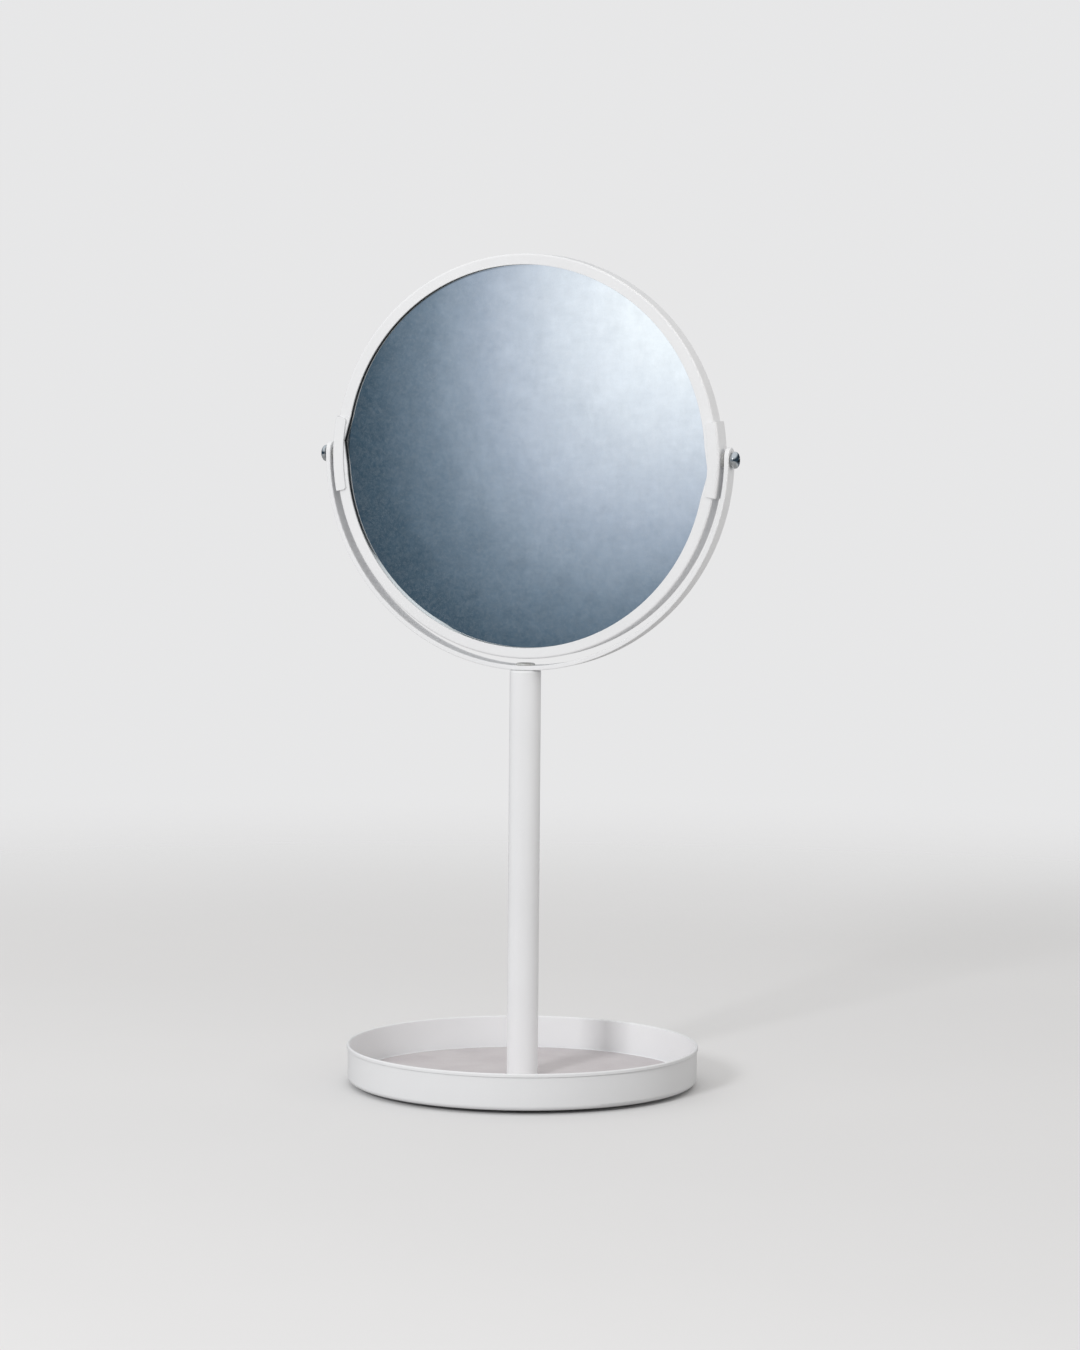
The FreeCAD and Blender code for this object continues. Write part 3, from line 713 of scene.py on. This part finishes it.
def makeFloor():
    disc = spin([(0, 0), (stage["radius"], 0)], stage["steps"])
    mesh = finishMesh(disc, "floor", Matrix.Identity(4))
    floor = bpy.data.objects.new("floor", mesh)
    bpy.context.scene.collection.objects.link(floor)
    material, tree, shader = newMaterial("paleFloor")
    clouds = grain(tree, stage["cloud"], 4.0)
    tone = mixColour(tree, clouds, stage["floor"], stage["floorCloud"])
    seen = addNode(tree, "ShaderNodeLightPath").outputs["Is Camera Ray"]
    tone = mixColour(tree, seen, stage["floorBounce"], tone)
    setInput(tree, shader, "Base Color", tone)
    shader.inputs["Roughness"].default_value = stage["roughness"]
    shader.inputs["Specular IOR Level"].default_value = 0.0
    spot = addNode(tree, "ShaderNodeTexCoord").outputs["Object"]
    away = addNode(tree, "ShaderNodeVectorMath", {"operation": "LENGTH"})
    tree.links.new(spot, away.inputs[0])
    fade = spread(tree, away.outputs["Value"], *stage["fade"], smooth=True)
    clear = addNode(tree, "ShaderNodeBsdfTransparent")
    blend = addNode(tree, "ShaderNodeMixShader", Fac=fade)
    tree.links.new(shader.outputs[0], blend.inputs[1])
    tree.links.new(clear.outputs[0], blend.inputs[2])
    tree.links.new(blend.outputs[0], tree.nodes["Material Output"].inputs["Surface"])
    mesh.materials.append(material)


lamps = {
    # azimuth (as the camera's), height and beam in degrees
    # distance, side and height aimed at in metres
    "key": {
        "azimuth": -10, "height": 21, "distance": 2.2, "side": 0.38, "power": 18.0,
        "beam": 180, "aim": 0.17, "colour": (0.99, 0.993, 1.0),
    },
    "side": {
        "azimuth": 94, "height": 12, "distance": 0.75, "side": 0.30, "power": 0.09,
        "beam": 45, "aim": 0.29, "colour": (1.0, 0.985, 0.97),
    },
}
keyShine = {"strength": 3.6, "edge": 3.0}   # the key as shiny surfaces see it, edge in degrees


def heading(azimuth, height):
    turn, lift = math.radians(azimuth), math.radians(height)
    level = math.cos(lift)
    return Vector((math.sin(turn) * level, -math.cos(turn) * level, math.sin(lift)))


# what shiny surfaces see ahead: a dark mottled wall with a soft oval pool of light on it

pool = {
    "azimuth": -16.75, "height": 2.565,
    "tilt": -29.7,                        # degrees by which the oval leans
    "stretch": 1.667,                     # its length against its width
    "strength": 1.14,
    "span": 10.0,                         # degrees across the oval that the ramp covers
    "stops": [
        (0.0, (0.95, 0.98, 1.0)), (1.5, (0.923, 0.965, 0.996)), (2.0, (0.817, 0.862, 0.918)),
        (2.6, (0.612, 0.662, 0.736)), (3.2, (0.403, 0.459, 0.546)), (3.8, (0.209, 0.265, 0.333)),
        (4.4, (0.080, 0.122, 0.166)), (5.0, (0.030, 0.056, 0.081)), (8.0, (0.026, 0.048, 0.070)),
    ],
    "jitter": ((0.006, 0.045), (0.0016, 0.05)),   # size, and degrees that the pool's edge wanders
    "mottle": (0.0010, 0.075),            # size and share of the wall's mottling
    "mottleRange": (1.1, 1.9),
    "threadScale": 0.3,                   # stretches its threads lengthwise
    "cloudTimes": 4,                      # size of its clouds against the threads
}


def degreesFromOval(tree, way):
    # angle between a direction of the sky and the pool's centre, counted across the oval
    centre = heading(pool["azimuth"], pool["height"])
    level = Vector((-centre.y, centre.x, 0)).normalized()
    upright = centre.cross(level)
    lean = math.radians(pool["tilt"])
    across = level * math.cos(lean) + upright * math.sin(lean)
    along = (upright * math.cos(lean) - level * math.sin(lean)) / pool["stretch"]
    apart = addNode(tree, "ShaderNodeVectorMath", {"operation": "SUBTRACT"})
    tree.links.new(way, apart.inputs[0])
    apart.inputs[1].default_value = centre
    squares = []
    for axis in (across, along):
        reach = addNode(tree, "ShaderNodeVectorMath", {"operation": "DOT_PRODUCT"})
        tree.links.new(apart.outputs[0], reach.inputs[0])
        reach.inputs[1].default_value = axis
        size = maths(tree, "ABSOLUTE", reach.outputs["Value"])
        squares.append(maths(tree, "POWER", size, 2.0))
    return maths(tree, "MULTIPLY", maths(tree, "SQRT", maths(tree, "ADD", *squares)), 180 / math.pi)


def makePool(tree, way):
    degrees = degreesFromOval(tree, way)
    for size, reach in pool["jitter"]:
        wander = grain(tree, size, 4.0, 0.6, vector=way)
        degrees = maths(tree, "ADD", degrees, spread(tree, wander, *wideRange, -reach, reach))
    ramp = addNode(tree, "ShaderNodeValToRGB", Fac=maths(tree, "DIVIDE", degrees, pool["span"]))
    stops = ramp.color_ramp.elements
    while len(stops) < len(pool["stops"]):
        stops.new(1.0)
    for stop, (angle, colour) in zip(stops, pool["stops"]):
        stop.position = angle / pool["span"]
        stop.color = rgb(colour)
    ramp.color_ramp.interpolation = "CARDINAL"
    size, share = pool["mottle"]
    scale = pool["threadScale"]
    threads = []
    for stretch in ((1, 1, scale), (scale, scale, 1)):
        where = addNode(tree, "ShaderNodeMapping", Vector=way, Scale=stretch).outputs[0]
        threads.append(grain(tree, size, 3.0, 0.6, vector=where))
    clouds = grain(tree, size * pool["cloudTimes"], 4.0, 0.6, vector=way)
    mottle = maths(tree, "ADD", maths(tree, "ADD", *threads), clouds)
    mottle = spread(tree, mottle, *pool["mottleRange"], 1 - share, 1 + share)
    mottle = maths(tree, "MULTIPLY", mottle, pool["strength"])
    return mixColour(tree, 1.0, ramp.outputs[0], mottle, "MULTIPLY")


def makeKeyShine(tree, way):
    # 1 in the direction of the key lamp, 0 outside its soft edge
    key = lamps["key"]
    apart = addNode(tree, "ShaderNodeVectorMath", {"operation": "DISTANCE"})
    tree.links.new(way, apart.inputs[0])
    apart.inputs[1].default_value = heading(key["azimuth"], key["height"])
    degrees = maths(tree, "MULTIPLY", apart.outputs["Value"], 180 / math.pi)
    reach, edge = math.degrees(key["side"] / 2 / key["distance"]), keyShine["edge"]
    return spread(tree, degrees, reach + edge, reach - edge, smooth=True)


# light from all round; each range is of one part of a direction, from -1 to 1

sky = {
    "fill": 0.715,
    "below": (0.70, 0.70, 0.70),
    "above": (1.10, 1.10, 1.10),
    "fromLeft": (1.09, 1.085, 1.08),
    "fromRight": (0.80, 0.785, 0.765),
    "sideRange": (-0.6, 0.9),
    "fromBehind": (1.18, 1.17, 1.16),
    "behindRange": (-0.1, 0.8),
    "floorwards": (0.72, 0.73, 0.74),     # what shiny surfaces see below the wall
    "floorRange": (-0.12, -0.35),
    "upwards": (0.80, 0.84, 0.88),        # and above it
    "upRange": (0.15, 0.6),
}


def makeWorld():
    world = bpy.data.worlds.new("studio")
    world.use_nodes = True
    bpy.context.scene.world = world
    tree = world.node_tree
    way = addNode(tree, "ShaderNodeTexCoord").outputs["Generated"]
    parts = addNode(tree, "ShaderNodeSeparateXYZ", Vector=way).outputs
    toSide = spread(tree, parts["X"], *sky["sideRange"])
    toBack = spread(tree, parts["Y"], *sky["behindRange"])
    fill = mixColour(tree, spread(tree, parts["Z"], -1, 1), sky["below"], sky["above"])
    for share in (mixColour(tree, toSide, sky["fromLeft"], sky["fromRight"]),
                  mixColour(tree, toBack, (1, 1, 1), sky["fromBehind"]), (sky["fill"],) * 3):
        fill = mixColour(tree, 1.0, fill, share, "MULTIPLY")

    down = spread(tree, parts["Z"], *sky["floorRange"], smooth=True)
    lifted = spread(tree, parts["Z"], *sky["upRange"], smooth=True)
    shiny = mixColour(tree, down, makePool(tree, way), sky["floorwards"])
    shiny = mixColour(tree, lifted, shiny, sky["upwards"])
    shiny = mixColour(tree, makeKeyShine(tree, way), shiny, (keyShine["strength"],) * 3)

    path = addNode(tree, "ShaderNodeLightPath").outputs
    mirrored = maths(tree, "MAXIMUM", path["Is Glossy Ray"], path["Is Transmission Ray"])
    seen = mixColour(tree, mirrored, fill, shiny)
    seen = mixColour(tree, path["Is Camera Ray"], seen, stage["white"])
    tree.links.new(seen, tree.nodes["Background"].inputs["Color"])


def makeLamps():
    for name, lamp in lamps.items():
        data = bpy.data.lights.new(name, "AREA")
        data.energy = lamp["power"]
        data.size = lamp["side"]
        data.spread = math.radians(lamp["beam"])
        data.color = lamp["colour"]
        light = bpy.data.objects.new(name, data)
        light.visible_glossy = False   # shiny surfaces see it in the world, which is calmer
        away = heading(lamp["azimuth"], lamp["height"])
        light.location = Vector((0, 0, lamp["aim"])) + away * lamp["distance"]
        light.rotation_mode = "QUATERNION"
        light.rotation_quaternion = away.to_track_quat("Z", "Y")
        bpy.context.scene.collection.objects.link(light)


view = {
    "distance": 1.7444,    # from the post's axis, level
    "azimuth": 20.08,
    "height": 0.3126,
    "yaw": -0.203, "pitch": -4.509, "roll": 0.488,   # degrees off the level line to the axis
    "lens": 110.05, "sensor": 36,   # mm
}


def makeCamera():
    data = bpy.data.cameras.new("camera")
    data.lens = view["lens"]
    data.sensor_width = view["sensor"]
    camera = bpy.data.objects.new("camera", data)
    camera.location = heading(view["azimuth"], 0) * view["distance"]
    camera.location.z = view["height"]
    look = view["azimuth"] + view["yaw"]
    forward = -heading(look, -view["pitch"])
    right = Vector((math.cos(math.radians(look)), math.sin(math.radians(look)), 0))
    up = right.cross(forward)
    roll = math.radians(view["roll"])
    right, up = (right * math.cos(roll) + up * math.sin(roll),
                 up * math.cos(roll) - right * math.sin(roll))
    camera.rotation_mode = "QUATERNION"
    camera.rotation_quaternion = Matrix((right, up, -forward)).transposed().to_quaternion()
    bpy.context.scene.collection.objects.link(camera)
    bpy.context.scene.camera = camera


makeFloor()
makeWorld()
makeLamps()
makeCamera()
bpy.context.scene.view_settings.view_transform = "Standard"
print("stage, lights and camera set")

bpy.context.view_layer.update()
